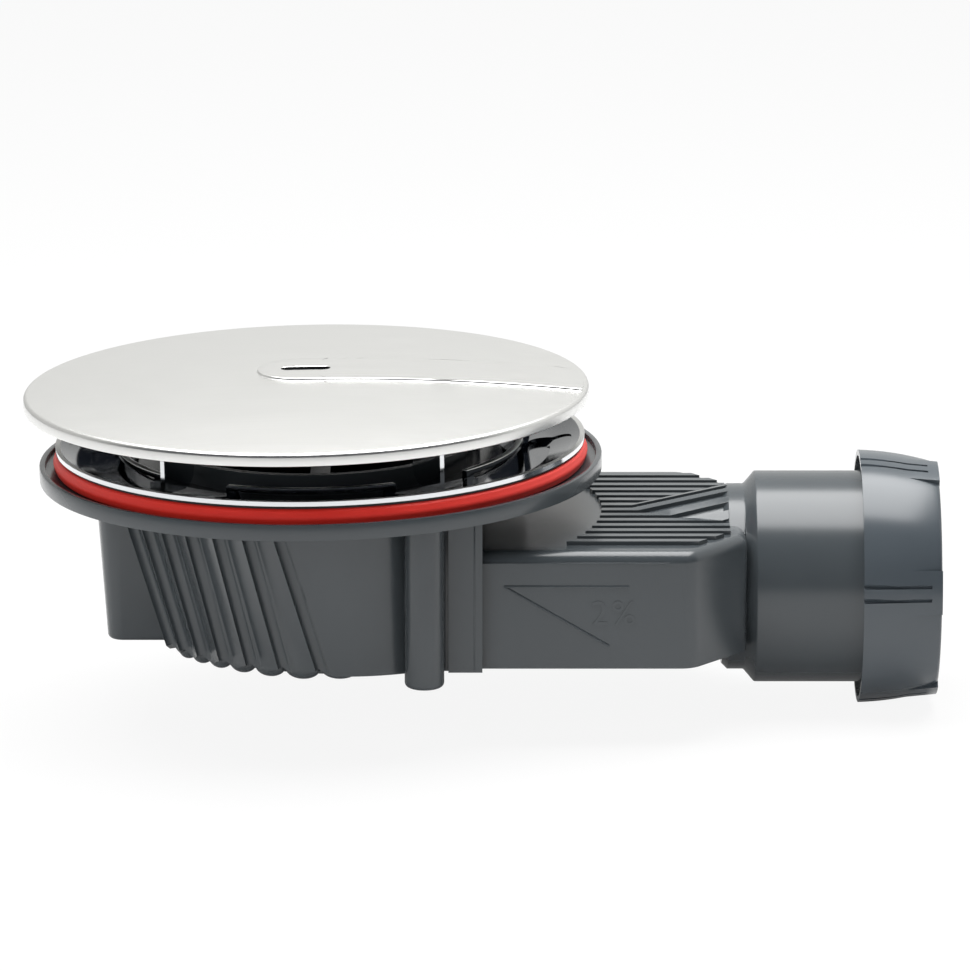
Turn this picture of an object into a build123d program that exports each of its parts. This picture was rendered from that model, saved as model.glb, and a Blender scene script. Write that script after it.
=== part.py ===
from build123d import *
from math import atan, cos, degrees, radians, sin, sqrt
import os

os.makedirs("parts", exist_ok=True)

# Shower trap with a removable dip tube, a raised cover and a compression outlet
# Lengths are millimetres, the trap's axis is Z and heights count from the top of the body flange
# The outlet leaves along X, with the bowl's floor and the outlet falling gently that way

# Fall of the floor and the outlet, as drop over run
fall_ratio = 0.02
fall_angle = degrees(atan(fall_ratio))

# Clearances
thread_clearance = 0.3
slip_clearance = 0.4
seat_film = 0.05
cover_seat_gap = 0.3

# Bowl of the body: a cup with a flat far end, under a ring that the collar screws into
bowl_radius = 42.0
bowl_depth = 35.5
cup_radius = 34.0
cup_wall = 2.0
cup_end = 31.5
floor_thickness = 2.0
thread_wall = 2.2
thread_floor = 1.5

# Flange that presses the tray seal up against the tray
flange_width = 15.3
flange_thickness = 3.3
flange_lip_width = 1.2
recess_depth = 1.2
mouth_chamfer = 1.8
flange_radius = bowl_radius + flange_width

# Saw-tooth flutes leaning across the bowl's side, as angles from the front
flute_count = 7
flute_rise = 3.45
flute_draft = 2.95
flute_shift = 5.5
flute_depth = 2.0
flute_valley_ratio = 0.3
flute_valley_radius = 1.0
flute_top_first_angle = -64.8
flute_top_pitch_angle = 9.27
flute_top_growth_ratio = 0.976
flute_bottom_first_angle = -57.6
flute_bottom_pitch_angle = 6.58
flute_bottom_growth_ratio = 1.098

# Scallops along the flutes' lower edge
notch_rise = 1.7
notch_left_ratio = 0.6
notch_right_ratio = 0.4
notch_depth = 6.0

# Round post, flat pilaster and end foot that the body stands on while it is fitted
post_angle = 27.9
post_radius = 3.95
post_standoff = 3.8
foot_drop = 2.0
foot_rounding = 1.0
pilaster_gap = 0.8
pilaster_width = 6.8
pilaster_standoff = 3.0
end_foot_width = 12.8
end_foot_length = 15.6
end_foot_reach = 43.6
end_foot_corner_radius = 3.2
end_foot_draft_angle = 4.0

# Outlet box beside the bowl
box_length = 44.3
box_half_width = 34.5
box_roof_depth = 11.55
box_wall = 2.0
box_edge_radius = 2.4
box_taper_length = 11.3
box_end_half_width = 21.0
box_taper_rounding = 5.0
box_end_rounding = 3.0
box_end = bowl_radius + box_length
chamber_start = 20.0
weir_depth = 19.5
weir_half_width = 27.0

# Ribs along the outlet box's roof
rib_count = 14
rib_pitch = 4.2
rib_width = 2.0
rib_height = 0.8
rib_margin = 2.9

# Half-cone that lifts the roof towards the outlet
ramp_start_radius = 14.0
ramp_start = 64.0
ramp_slope = 0.218

# Outlet neck, shoulder and socket for the waste pipe
outlet_axis_depth = 25.4
neck_radius = 19.0
neck_wall = 2.0
neck_length = 4.5
neck_chamfer = 1.2
shoulder_length = 2.2
socket_radius = 21.6
socket_wall = 1.2
socket_plain_length = 23.1
socket_stop_length = 6.6
socket_thread_length = 9.0
socket_thread_height = 1.4
gasket_seat_depth = 2.0
gasket_seat_wall = 1.1

# Outlet nut
nut_rim_wall = 2.65
nut_mid_drop = 0.75
nut_end_drop = 2.65
nut_edge_radius = 0.9
nut_rim_overlap = 1.8
nut_skirt_length = 2.3
nut_skirt_wall = 1.2
nut_end_wall = 2.0
nut_hole_clearance = 0.2
lug_count = 5
lug_angle = 6.5
lug_width = 9.0
lug_end_drop = 1.65
lug_length = 9.5
groove_pitch = 2.9
groove_width = 1.1
groove_depth = 0.7
groove_length = 11.5

# Gasket and slip ring that the nut squeezes on the waste pipe
gasket_length = 3.7
gasket_bore_gap = 0.1
slip_ring_length = 1.4
ring_side_clearance = 0.2

# Tray seal
seal_gap = 1.7
seal_width = 6.9
seal_edge_radius = 0.9

# Collar that screws into the bowl and clamps the tray
collar_inset = 0.5
collar_rim_height = 3.86
collar_rim_width = 1.0
collar_rim_thickness = 0.9
collar_rim_step = 0.35
collar_seat_slope = 0.404
collar_seat_width = 7.9
collar_dish_height = 1.5
collar_dish_inset = 6.2
collar_shell = 0.7
collar_funnel = 2.5
collar_funnel_depth = 3.0
sleeve_wall = 2.0
sleeve_depth = 6.5
ledge_width = 4.5
ledge_thickness = 2.2
gasket_thickness = 0.3
gasket_inset = 0.6

# Scooped pockets in the collar's dish, with a ridge between each two and a lip bridging each one's inner side
pocket_count = 5
pocket_ridge_angle = 19.0
pocket_inner_inset = 2.3
pocket_outer_inset = 2.7
pocket_ridge_first_angle = -55.5
lip_width = 1.3
lip_top = 3.4
lip_end_angle = 3.0
window_top = 2.3

# Cover plate, resting a little off the trap's axis
cover_overhang = 3.6
cover_shift = -2.6
cover_sheet = 1.0
cover_rim_bottom = 11.85
cover_edge_height = 14.4
cover_crown = 3.5
cover_edge_radius = 0.9
band_height = 0.5
band_width = 18.0
band_reach = 9.8
slot_length = 10.0
slot_width = 3.1

# Cover carrier and its legs
carrier_inset = 4.0
carrier_shell = 1.5
carrier_rim_width = 4.0
carrier_rim_bottom = 12.4
carrier_hole_radius = 9.0
leg_first_angle = -54.0
leg_thickness = 1.0
leg_width = 9.4
leg_reach = 47.2
leg_corner_radius = 3.5

# Dip tube that lifts out for cleaning
tube_radius = 24.0
tube_wall = 1.7
tube_rim_radius = 32.5
tube_rim_top = 3.9
tube_floor_gap = 3.0
tube_flange_thickness = 4.0
tube_plate_thickness = 2.0
oring_radius = 1.3
oring_clearance = 0.1
handle_width = 4.0
handle_height = 5.0

# Radii and heights that follow from the sizes above
bowl_bore = cup_radius - cup_wall
thread_bore = bowl_radius - thread_wall
recess_radius = flange_radius - flange_lip_width
seal_radius = recess_radius - seal_gap
seal_bore = seal_radius - seal_width
collar_radius = seal_radius - collar_inset
sleeve_radius = thread_bore - thread_clearance
collar_bore = sleeve_radius - sleeve_wall
ledge_bore = collar_bore - ledge_width
funnel_radius = collar_bore + collar_funnel
collar_under = collar_rim_height - collar_rim_thickness
lower_top = -recess_depth - mouth_chamfer / 2
seat_inner_radius = collar_radius - collar_seat_width
seat_inner_height = collar_under - collar_seat_slope * collar_seat_width
ledge_top = ledge_thickness - sleeve_depth
cover_radius = collar_radius + cover_overhang
crown_height = cover_edge_height + cover_crown
dome_radius = (cover_radius**2 + cover_crown**2) / (2 * cover_crown)
outlet_axis_height = -outlet_axis_depth
neck_start = box_end - neck_length
socket_start = box_end + shoulder_length
thread_start = socket_start + socket_plain_length
socket_end = thread_start + socket_thread_length
socket_stop = socket_start + socket_stop_length
pipe_bore = socket_radius - socket_wall
thread_radius = socket_radius + socket_thread_height
gasket_seat_radius = thread_radius - gasket_seat_wall
seat_start = socket_end - gasket_seat_depth
gasket_end = seat_start + gasket_length
slip_ring_end = gasket_end + slip_ring_length
nut_rim_radius = thread_radius + ring_side_clearance + nut_rim_wall
nut_mid_radius = nut_rim_radius - nut_mid_drop
nut_end_radius = nut_rim_radius - nut_end_drop
lug_end_radius = nut_rim_radius - lug_end_drop
groove_floor_radius = nut_rim_radius - groove_depth
nut_start = thread_start - nut_rim_overlap
nut_end = slip_ring_end + nut_end_wall


def seat_height(radius):
    """Height of the collar's sloping underside at a radius."""
    return collar_under - collar_seat_slope * (collar_radius - radius)


def dome_height(radius, drop):
    """Height of the cover's dome at a radius, lowered by a drop."""
    return crown_height - drop - dome_radius + sqrt(dome_radius**2 - radius**2)


def dish_height(radius):
    """Height of the collar's dish at a radius, flat and then rising to the rim."""
    rise = collar_rim_height - collar_rim_step - collar_dish_height
    run = collar_dish_inset - collar_rim_width
    return collar_dish_height + max(0, radius - collar_radius + collar_dish_inset) * rise / run


def from_front(radius, angle, shift=0):
    """Plan point at a radius and an angle counted from the front, round a centre shifted along X."""
    return (shift + radius * sin(radians(angle)), -radius * cos(radians(angle)))


def flute_angles(first, pitch, growth):
    """Angles of the flutes' crests, from the one before the first to the one after the last."""
    return [first + pitch * (growth**i - 1) / (growth - 1) for i in range(-1, flute_count + 1)]


def half_cone(swell):
    """Upper half of the cone on the outlet's axis, swollen by an amount."""
    root = ramp_start - box_wall
    with BuildPart() as cone:
        with BuildSketch(Plane.XZ):
            with BuildLine():
                Polyline(
                    (root, outlet_axis_height),
                    (root, outlet_axis_height + ramp_radius(root) + swell),
                    (box_end, outlet_axis_height + ramp_radius(box_end) + swell),
                    (box_end, outlet_axis_height),
                    close=True,
                )
            make_face()
        revolve(axis=outlet_axis)
        split(bisect_by=Plane.XY.offset(outlet_axis_height), keep=Keep.TOP)
    return cone.part


def ramp_radius(x):
    """Radius of the half-cone at a distance along the outlet."""
    return ramp_start_radius + ramp_slope * (x - ramp_start)


outlet_axis = Axis((0, 0, outlet_axis_height), (1, 0, 0))

top_angles = flute_angles(flute_top_first_angle, flute_top_pitch_angle, flute_top_growth_ratio)
low_angles = flute_angles(flute_bottom_first_angle, flute_bottom_pitch_angle, flute_bottom_growth_ratio)
top_crest = bowl_radius + flute_rise
low_crest = top_crest - flute_draft

# Fluted side of the bowl, one tooth leading into the next and the last running out to the post
with BuildPart() as fluted_side:
    for height, crest, shift, angles in (
        (lower_top, top_crest, 0, top_angles),
        (-bowl_depth, low_crest, flute_shift, low_angles),
    ):
        outline = []
        for i in range(flute_count + 1):
            step = flute_valley_ratio * (angles[i + 1] - angles[i])
            outline.append(from_front(crest, angles[i], shift))
            outline.append(from_front(crest - flute_depth, angles[i] + step, shift))
        valleys = outline[3::2]
        start = from_front(bowl_bore, angles[1])
        end = from_front(bowl_bore, post_angle)
        fade_end = from_front(bowl_radius, post_angle)
        fade_middle = from_front(crest - flute_depth / 2, (angles[-1] + post_angle) / 2)
        with BuildSketch(Plane.XY.offset(height)):
            with BuildLine():
                Polyline(start, *outline[1:])
                ThreePointArc(outline[-1], fade_middle, fade_end)
                Line(fade_end, end)
                ThreePointArc(end, from_front(bowl_bore, (angles[1] + post_angle) / 2), start)
            make_face()
            fillet([vertices().sort_by_distance(point)[0] for point in valleys], flute_valley_radius)
    loft(ruled=True)
    for i in range(1, flute_count + 1):
        before = low_crest * radians(low_angles[i] - low_angles[i - 1])
        after = low_crest * radians(low_angles[i + 1] - low_angles[i])
        along = Vector(1, 0, 0).rotate(Axis.Z, low_angles[i])
        outward = along.rotate(Axis.Z, -90)
        foot = Vector(flute_shift, 0, -bowl_depth) + outward * (low_crest + flute_depth)
        with BuildSketch(Plane(foot, x_dir=along, z_dir=outward)):
            with BuildLine():
                Polyline(
                    (-notch_left_ratio * before, 0),
                    (0, notch_rise),
                    (notch_right_ratio * after / 2, notch_rise / 4),
                    (notch_right_ratio * after, 0),
                    close=True,
                )
            make_face()
        extrude(amount=-notch_depth, mode=Mode.SUBTRACT)

# Round post with a rounded foot
with BuildPart() as post:
    with BuildSketch(Plane.XY.offset(-bowl_depth - foot_drop)):
        Circle(post_radius)
    extrude(amount=bowl_depth + foot_drop + lower_top)
    fillet(post.faces().sort_by(Axis.Z)[0].edges(), foot_rounding)

# Foot beside the bowl's far end, widening upwards
with BuildPart() as end_foot:
    with BuildSketch(Plane.XY.offset(-bowl_depth - foot_drop)):
        with Locations((end_foot_length / 2 - end_foot_reach, 0)):
            RectangleRounded(end_foot_length, end_foot_width, end_foot_corner_radius)
    extrude(amount=bowl_depth + foot_drop + lower_top, taper=-end_foot_draft_angle)
    fillet(end_foot.faces().sort_by(Axis.Z)[0].edges(), foot_rounding)

# Plan of the cup, cut flat behind the end foot
with BuildSketch() as cup_plan:
    Circle(cup_radius)
    with Locations((-cup_end - cup_radius, 0)):
        Rectangle(2 * cup_radius, 2 * cup_radius, mode=Mode.SUBTRACT)

# Outlet box with a tapered end and rounded edges
with BuildPart() as outlet_box:
    with BuildSketch(Plane.XY.offset(-bowl_depth)) as box_plan:
        with BuildLine():
            Polyline(
                (0, -box_half_width),
                (box_end - box_taper_length, -box_half_width),
                (box_end, -box_end_half_width),
                (box_end, box_end_half_width),
                (box_end - box_taper_length, box_half_width),
                (0, box_half_width),
                close=True,
            )
        make_face()
        fillet(vertices().group_by(Axis.X)[1], box_taper_rounding)
        fillet(vertices().group_by(Axis.X)[-1], box_end_rounding)
    extrude(amount=bowl_depth - box_roof_depth)
    fillet(outlet_box.faces().sort_by(Axis.Z)[-1].edges(), box_edge_radius)

# Space that the tops of the ribs fill, over the roof and over the half-cone
with BuildPart() as rib_skin:
    with BuildSketch(Plane.XY.offset(-box_roof_depth - box_wall / 2)):
        with Locations((box_end / 2, 0)):
            Rectangle(box_end, 2 * box_half_width)
    extrude(amount=box_wall / 2 + rib_height)
    add(half_cone(rib_height))

# Field on the roof that the ribs keep to
with BuildSketch() as rib_field:
    add(box_plan.sketch_local)
    offset(amount=-rib_margin, kind=Kind.INTERSECTION, mode=Mode.REPLACE)
    Circle(flange_radius, mode=Mode.SUBTRACT)
    with Locations((neck_start + neck_chamfer + box_end / 2, 0)):
        Rectangle(box_end, 2 * box_half_width, mode=Mode.SUBTRACT)

# Ribs, cut off round the bowl and short of the box's tapered end
with BuildPart() as roof_ribs:
    with BuildSketch(Plane.XY.offset(-box_roof_depth - box_wall / 2)):
        with Locations((box_end / 2, 0)):
            with GridLocations(0, rib_pitch, 1, rib_count):
                Rectangle(box_end, rib_width)
        add(rib_field.sketch_local, mode=Mode.INTERSECT)
    extrude(amount=outlet_axis_depth)
    add(rib_skin.part, mode=Mode.INTERSECT)

# Everything below the flange, still level
with BuildPart() as lower_body:
    with BuildSketch(Plane.XY.offset(-bowl_depth)):
        add(cup_plan.sketch_local)
    extrude(amount=bowl_depth + lower_top)
    add(fluted_side.part)
    mirror(fluted_side.part, about=Plane.XZ)
    add(end_foot.part)
    add(outlet_box.part)
    post_x, post_y = from_front(bowl_radius + post_standoff, post_angle)
    pilaster_x = post_x + post_radius + pilaster_gap + pilaster_width / 2
    pilaster_depth = pilaster_standoff + box_wall
    pilaster_y = box_half_width - box_wall + pilaster_depth / 2
    for side in (-1, 1):
        with Locations((post_x, -side * post_y, 0)):
            add(post.part)
        with BuildSketch(Plane.XY.offset(-bowl_depth)):
            with Locations((pilaster_x, side * pilaster_y)):
                Rectangle(pilaster_width, pilaster_depth)
        extrude(amount=bowl_depth + lower_top)
    add(half_cone(0))
    add(roof_ribs.part)
    with BuildSketch(Plane.XZ):
        with BuildLine():
            Polyline(
                (neck_start, outlet_axis_height),
                (neck_start, outlet_axis_height + neck_radius - neck_chamfer),
                (neck_start + neck_chamfer, outlet_axis_height + neck_radius),
                (box_end, outlet_axis_height + neck_radius),
                (socket_start, outlet_axis_height + socket_radius),
                (thread_start, outlet_axis_height + socket_radius),
                (thread_start, outlet_axis_height + thread_radius),
                (socket_end, outlet_axis_height + thread_radius),
                (socket_end, outlet_axis_height),
                close=True,
            )
        make_face()
    revolve(axis=outlet_axis)

# Trap body: the level part tilted to its fall, the flange on top and the waterways cut through
with BuildPart() as outlet_hollow:
    with BuildSketch(Plane.XY.offset(floor_thickness - bowl_depth)):
        add(box_plan.sketch_local)
        offset(amount=-box_wall, kind=Kind.INTERSECTION, mode=Mode.REPLACE)
        Circle(cup_radius, mode=Mode.SUBTRACT)
        with Locations((chamber_start - box_end, 0)):
            Rectangle(2 * box_end, 2 * box_end, mode=Mode.SUBTRACT)
    extrude(amount=bowl_depth - floor_thickness - box_roof_depth - box_wall)
    with BuildSketch(Plane.XY.offset(-weir_depth)):
        with Locations((cup_radius, 0)):
            Rectangle(bowl_radius, 2 * weir_half_width)
    extrude(amount=weir_depth - box_roof_depth - box_wall)
    add(half_cone(-box_wall))
    with BuildSketch(Plane.XZ):
        with BuildLine():
            Polyline(
                (neck_start + neck_wall, outlet_axis_height),
                (neck_start + neck_wall, outlet_axis_height + neck_radius - neck_wall),
                (socket_stop, outlet_axis_height + neck_radius - neck_wall),
                (socket_stop, outlet_axis_height + pipe_bore),
                (seat_start, outlet_axis_height + pipe_bore),
                (seat_start, outlet_axis_height + gasket_seat_radius),
                (socket_end, outlet_axis_height + gasket_seat_radius),
                (socket_end, outlet_axis_height),
                close=True,
            )
        make_face()
    revolve(axis=outlet_axis)

with BuildPart() as bowl_hollow:
    with BuildSketch(Plane.XY.offset(floor_thickness - bowl_depth)):
        add(cup_plan.sketch_local)
        offset(amount=-cup_wall, kind=Kind.INTERSECTION, mode=Mode.REPLACE)
    extrude(amount=bowl_depth - floor_thickness)

with BuildPart() as trap_body:
    add(lower_body.part, rotation=(0, fall_angle, 0))
    with BuildSketch(Plane.XY.offset(-flange_thickness)):
        Circle(flange_radius)
    extrude(amount=flange_thickness)
    with BuildSketch(Plane.XY.offset(-sleeve_depth - thread_clearance - thread_floor)):
        Circle(bowl_radius)
    extrude(amount=sleeve_depth + thread_clearance + thread_floor)
    add(outlet_hollow.part, rotation=(0, fall_angle, 0), mode=Mode.SUBTRACT)
    add(bowl_hollow.part, rotation=(0, fall_angle, 0), mode=Mode.SUBTRACT)
    with BuildSketch(Plane.XZ):
        with BuildLine():
            Polyline(
                (0, -sleeve_depth - thread_clearance),
                (thread_bore, -sleeve_depth - thread_clearance),
                (thread_bore, -recess_depth - mouth_chamfer),
                (thread_bore + mouth_chamfer, -recess_depth),
                (recess_radius, -recess_depth),
                (recess_radius, flange_thickness),
                (0, flange_thickness),
                close=True,
            )
        make_face()
    revolve(axis=Axis.Z, mode=Mode.SUBTRACT)
trap_body.part.label = "trap_body"
export_step(trap_body.part, "parts/trap_body.step")

# Tray seal, a soft ring whose top slopes like the collar's seat
with BuildPart() as tray_seal:
    with BuildSketch(Plane.XZ):
        with BuildLine():
            top_drop = gasket_thickness + 2 * seat_film
            Polyline(
                (seal_bore, -recess_depth),
                (seal_radius, -recess_depth),
                (seal_radius, seat_height(seal_radius) - top_drop),
                (seal_bore, seat_height(seal_bore) - top_drop),
                close=True,
            )
        make_face()
        fillet(vertices().sort_by(Axis.Y)[-1], seal_edge_radius)
    revolve(axis=Axis.Z)
tray_seal.part.label = "tray_seal"
export_step(tray_seal.part, "parts/tray_seal.step")

# Thin gasket between the collar and what it clamps
with BuildPart() as collar_gasket:
    with BuildSketch(Plane.XZ):
        with BuildLine():
            inner = seal_bore + gasket_inset
            outer = collar_radius - gasket_inset
            Polyline(
                (inner, seat_height(inner) - gasket_thickness - seat_film),
                (outer, seat_height(outer) - gasket_thickness - seat_film),
                (outer, seat_height(outer) - seat_film),
                (inner, seat_height(inner) - seat_film),
                close=True,
            )
        make_face()
    revolve(axis=Axis.Z)
collar_gasket.part.label = "collar_gasket"
export_step(collar_gasket.part, "parts/collar_gasket.step")

# One scooped pocket of the collar, with a floor that slopes like the seat
pocket_inner = funnel_radius + pocket_inner_inset
pocket_outer = collar_radius - pocket_outer_inset
pocket_width = pocket_outer - pocket_inner
pocket_middle = (pocket_outer + pocket_inner) / 2
pocket_end_angle = degrees(pocket_width / 2 / pocket_middle)
pocket_arc = 360 / pocket_count - pocket_ridge_angle - 2 * pocket_end_angle
pocket_start = pocket_ridge_first_angle + 180 / pocket_count - pocket_arc / 2
with BuildPart() as pocket:
    with BuildLine() as pocket_line:
        CenterArc((0, 0), pocket_middle, pocket_start, pocket_arc)
    with BuildSketch(Plane.XY.offset(seat_inner_height)):
        SlotArc(pocket_line.edge(), pocket_width)
    extrude(amount=2 * collar_rim_height)
    with BuildSketch(Plane.XZ):
        with BuildLine():
            Polyline(
                (pocket_inner, seat_inner_height + collar_shell),
                (seat_inner_radius, seat_inner_height + collar_shell),
                (collar_radius, collar_under + collar_shell),
                (collar_radius, 2 * collar_rim_height),
                (pocket_inner, 2 * collar_rim_height),
                close=True,
            )
        make_face()
    revolve(axis=Axis.Z, mode=Mode.INTERSECT)

# Lip that bridges one pocket's inner side
lip_outward = Vector(1, 0, 0).rotate(Axis.Z, pocket_start - lip_end_angle)
with BuildPart() as pocket_lip:
    with BuildSketch(Plane((0, 0, 0), x_dir=lip_outward, z_dir=lip_outward.rotate(Axis.Z, -90))):
        with BuildLine():
            Polyline(
                (funnel_radius, collar_dish_height - collar_shell),
                (funnel_radius + lip_width, collar_dish_height - collar_shell),
                (funnel_radius + lip_width, lip_top),
                (funnel_radius, lip_top),
                close=True,
            )
        make_face()
    revolve(axis=Axis.Z, revolution_arc=pocket_arc + 2 * lip_end_angle)

# Window under the lip that drains the pocket
window_outward = Vector(1, 0, 0).rotate(Axis.Z, pocket_start)
with BuildPart() as pocket_window:
    with BuildSketch(Plane((0, 0, 0), x_dir=window_outward, z_dir=window_outward.rotate(Axis.Z, -90))):
        with BuildLine():
            Polyline(
                (collar_bore - collar_shell, seat_inner_height + collar_shell),
                (pocket_middle, seat_inner_height + collar_shell),
                (pocket_middle, window_top),
                (collar_bore - collar_shell, window_top),
                close=True,
            )
        make_face()
    revolve(axis=Axis.Z, revolution_arc=pocket_arc)

# Collar: rim, sloping dish, funnel and threaded sleeve with a ledge for the dip tube
with BuildPart() as collar:
    with BuildSketch(Plane.XZ):
        with BuildLine():
            Polyline(
                (collar_radius, collar_under),
                (collar_radius, collar_rim_height),
                (collar_radius - collar_rim_width, collar_rim_height),
                (collar_radius - collar_rim_width, collar_rim_height - collar_rim_step),
                (collar_radius - collar_dish_inset, collar_dish_height),
                (funnel_radius, collar_dish_height),
                (collar_bore, collar_dish_height - collar_funnel_depth),
                (collar_bore, ledge_top),
                (ledge_bore, ledge_top),
                (ledge_bore, -sleeve_depth),
                (sleeve_radius, -sleeve_depth),
                (sleeve_radius, seat_inner_height),
                (seat_inner_radius, seat_inner_height),
                close=True,
            )
        make_face()
    revolve(axis=Axis.Z)
    with PolarLocations(0, pocket_count):
        add(pocket_lip.part)
        add(pocket.part, mode=Mode.SUBTRACT)
        add(pocket_window.part, mode=Mode.SUBTRACT)
collar.part.label = "collar"
export_step(collar.part, "parts/collar.step")

# Dip tube under a dished flange that rests on the collar's ledge, with a bar to lift it by
tube_bore = tube_radius - tube_wall
tube_flange_radius = collar_bore - slip_clearance
tube_flange_top = ledge_top + tube_flange_thickness
tube_plate_top = ledge_top + tube_plate_thickness
oring_centre = collar_bore - oring_clearance - oring_radius
oring_height = ledge_top + tube_flange_thickness / 2
groove_radius = oring_centre - oring_radius - oring_clearance
groove_half = oring_radius + oring_clearance
tube_bottom = floor_thickness - bowl_depth + tube_floor_gap
with BuildPart() as dip_tube:
    with BuildSketch(Plane.XZ):
        with BuildLine():
            Polyline(
                (tube_bore, tube_bottom),
                (tube_radius, tube_bottom),
                (tube_radius, ledge_top),
                (tube_flange_radius, ledge_top),
                (tube_flange_radius, oring_height - groove_half),
                (groove_radius, oring_height - groove_half),
                (groove_radius, oring_height + groove_half),
                (tube_flange_radius, oring_height + groove_half),
                (tube_flange_radius, tube_flange_top),
                (tube_rim_radius, tube_flange_top),
                (tube_rim_radius, tube_rim_top),
                (tube_rim_radius - tube_wall, tube_rim_top),
                (tube_rim_radius - tube_wall, tube_plate_top),
                (tube_bore, tube_plate_top),
                close=True,
            )
        make_face()
    revolve(axis=Axis.Z)
    with BuildSketch(Plane.XY.offset(tube_plate_top - handle_height)):
        Rectangle(handle_width, 2 * tube_radius - tube_wall)
    extrude(amount=handle_height)
dip_tube.part.label = "dip_tube"
export_step(dip_tube.part, "parts/dip_tube.step")

# Seal round the dip tube's flange
with BuildPart() as dip_tube_seal:
    with BuildSketch(Plane.XZ):
        with Locations((oring_centre, oring_height)):
            Circle(oring_radius)
    revolve(axis=Axis.Z)
dip_tube_seal.part.label = "dip_tube_seal"
export_step(dip_tube_seal.part, "parts/dip_tube_seal.step")

# Cover carrier, a shallow dome inside the cover on legs that stand on the collar's ridges
cover_axis = Axis((cover_shift, 0, 0), (0, 0, 1))
cover_section = Plane((cover_shift, 0, 0), x_dir=(1, 0, 0), z_dir=(0, -1, 0))
carrier_radius = cover_radius - carrier_inset
carrier_drop = cover_sheet + cover_seat_gap
with BuildPart() as cover_carrier:
    with BuildSketch(cover_section):
        with BuildLine():
            rim_inner = carrier_radius - carrier_rim_width
            top_edge = (carrier_radius, dome_height(carrier_radius, carrier_drop))
            top_hole = (carrier_hole_radius, dome_height(carrier_hole_radius, carrier_drop))
            low_hole = (carrier_hole_radius, dome_height(carrier_hole_radius, carrier_drop + carrier_shell))
            low_rim = (rim_inner, dome_height(rim_inner, carrier_drop + carrier_shell))
            halfway = (carrier_hole_radius + rim_inner) / 2
            Line((carrier_radius, carrier_rim_bottom), top_edge)
            ThreePointArc(top_edge, (halfway, dome_height(halfway, carrier_drop)), top_hole)
            Line(top_hole, low_hole)
            low_middle = (halfway, dome_height(halfway, carrier_drop + carrier_shell))
            ThreePointArc(low_hole, low_middle, low_rim)
            Polyline(low_rim, (rim_inner, carrier_rim_bottom), (carrier_radius, carrier_rim_bottom))
        make_face()
    revolve(axis=cover_axis)
    leg_inner = leg_reach - leg_width
    cover_centre = Vector(cover_shift, 0, 0)
    for i in range(pocket_count):
        outward = Vector(1, 0, 0).rotate(Axis.Z, leg_first_angle + i * 360 / pocket_count)
        leg_bottom = dish_height((cover_centre + outward * leg_reach).length)
        with BuildSketch(Plane(cover_centre, x_dir=outward, z_dir=outward.rotate(Axis.Z, -90))):
            with BuildLine():
                Polyline(
                    (leg_inner, dome_height(leg_inner, carrier_drop + carrier_shell / 2)),
                    (leg_inner, leg_bottom),
                    (leg_reach, leg_bottom),
                    (leg_reach, dome_height(leg_reach, carrier_drop + carrier_shell / 2)),
                    close=True,
                )
            make_face()
            fillet(vertices().group_by(Axis.Y)[0].sort_by(Axis.X)[0], leg_corner_radius)
        extrude(amount=leg_thickness / 2, both=True)
cover_carrier.part.label = "cover_carrier"
export_step(cover_carrier.part, "parts/cover_carrier.step")

# Cover plate, pressed from sheet with a turned-down rim, a raised band and a slot to lift it by
cover_plan = Plane((cover_shift, 0, cover_rim_bottom))
with BuildPart() as raised_band:
    band_end = cover_radius - cover_edge_radius
    with BuildSketch(cover_plan):
        with Locations((band_width / 2 - band_reach, 0)):
            Circle(band_width / 2)
            Rectangle(cover_radius, band_width, align=(Align.MIN, Align.CENTER))
    extrude(amount=crown_height)
    with BuildSketch(cover_section):
        with BuildLine():
            crown_top = (0, crown_height + band_height)
            end_top = (band_end, dome_height(band_end, -band_height))
            middle_top = (band_end / 2, dome_height(band_end / 2, -band_height))
            end_low = (band_end, dome_height(band_end, cover_sheet / 2))
            crown_low = (0, crown_height - cover_sheet / 2)
            middle_low = (band_end / 2, dome_height(band_end / 2, cover_sheet / 2))
            ThreePointArc(crown_top, middle_top, end_top)
            Line(end_top, end_low)
            ThreePointArc(end_low, middle_low, crown_low)
            Line(crown_low, crown_top)
        make_face()
    revolve(axis=cover_axis, mode=Mode.INTERSECT)

with BuildPart() as cover_plate:
    with BuildSketch(cover_section):
        with BuildLine():
            inside = cover_radius - cover_sheet
            crown_top = (0, crown_height)
            edge_top = (cover_radius, dome_height(cover_radius, 0))
            middle_top = (cover_radius / 2, dome_height(cover_radius / 2, 0))
            edge_low = (inside, dome_height(inside, cover_sheet))
            crown_low = (0, crown_height - cover_sheet)
            middle_low = (inside / 2, dome_height(inside / 2, cover_sheet))
            ThreePointArc(crown_top, middle_top, edge_top)
            Polyline(edge_top, (cover_radius, cover_rim_bottom), (inside, cover_rim_bottom), edge_low)
            ThreePointArc(edge_low, middle_low, crown_low)
            Line(crown_low, crown_top)
        make_face()
        fillet(vertices().group_by(Axis.X)[-1].sort_by(Axis.Y)[-1], cover_edge_radius)
    revolve(axis=cover_axis)
    add(raised_band.part)
    with BuildSketch(cover_plan):
        SlotOverall(slot_length, slot_width)
    extrude(amount=crown_height, mode=Mode.SUBTRACT)
cover_plate.part.label = "cover_plate"
export_step(cover_plate.part, "parts/cover_plate.step")

# Section plane and axis of the outlet after the fall
pipe_origin = Vector(0, 0, outlet_axis_height).rotate(Axis.Y, fall_angle)
pipe_direction = Vector(1, 0, 0).rotate(Axis.Y, fall_angle)
pipe_axis = Axis(pipe_origin, pipe_direction)
pipe_section = Plane(pipe_origin, x_dir=pipe_direction, z_dir=(0, -1, 0))

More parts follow.
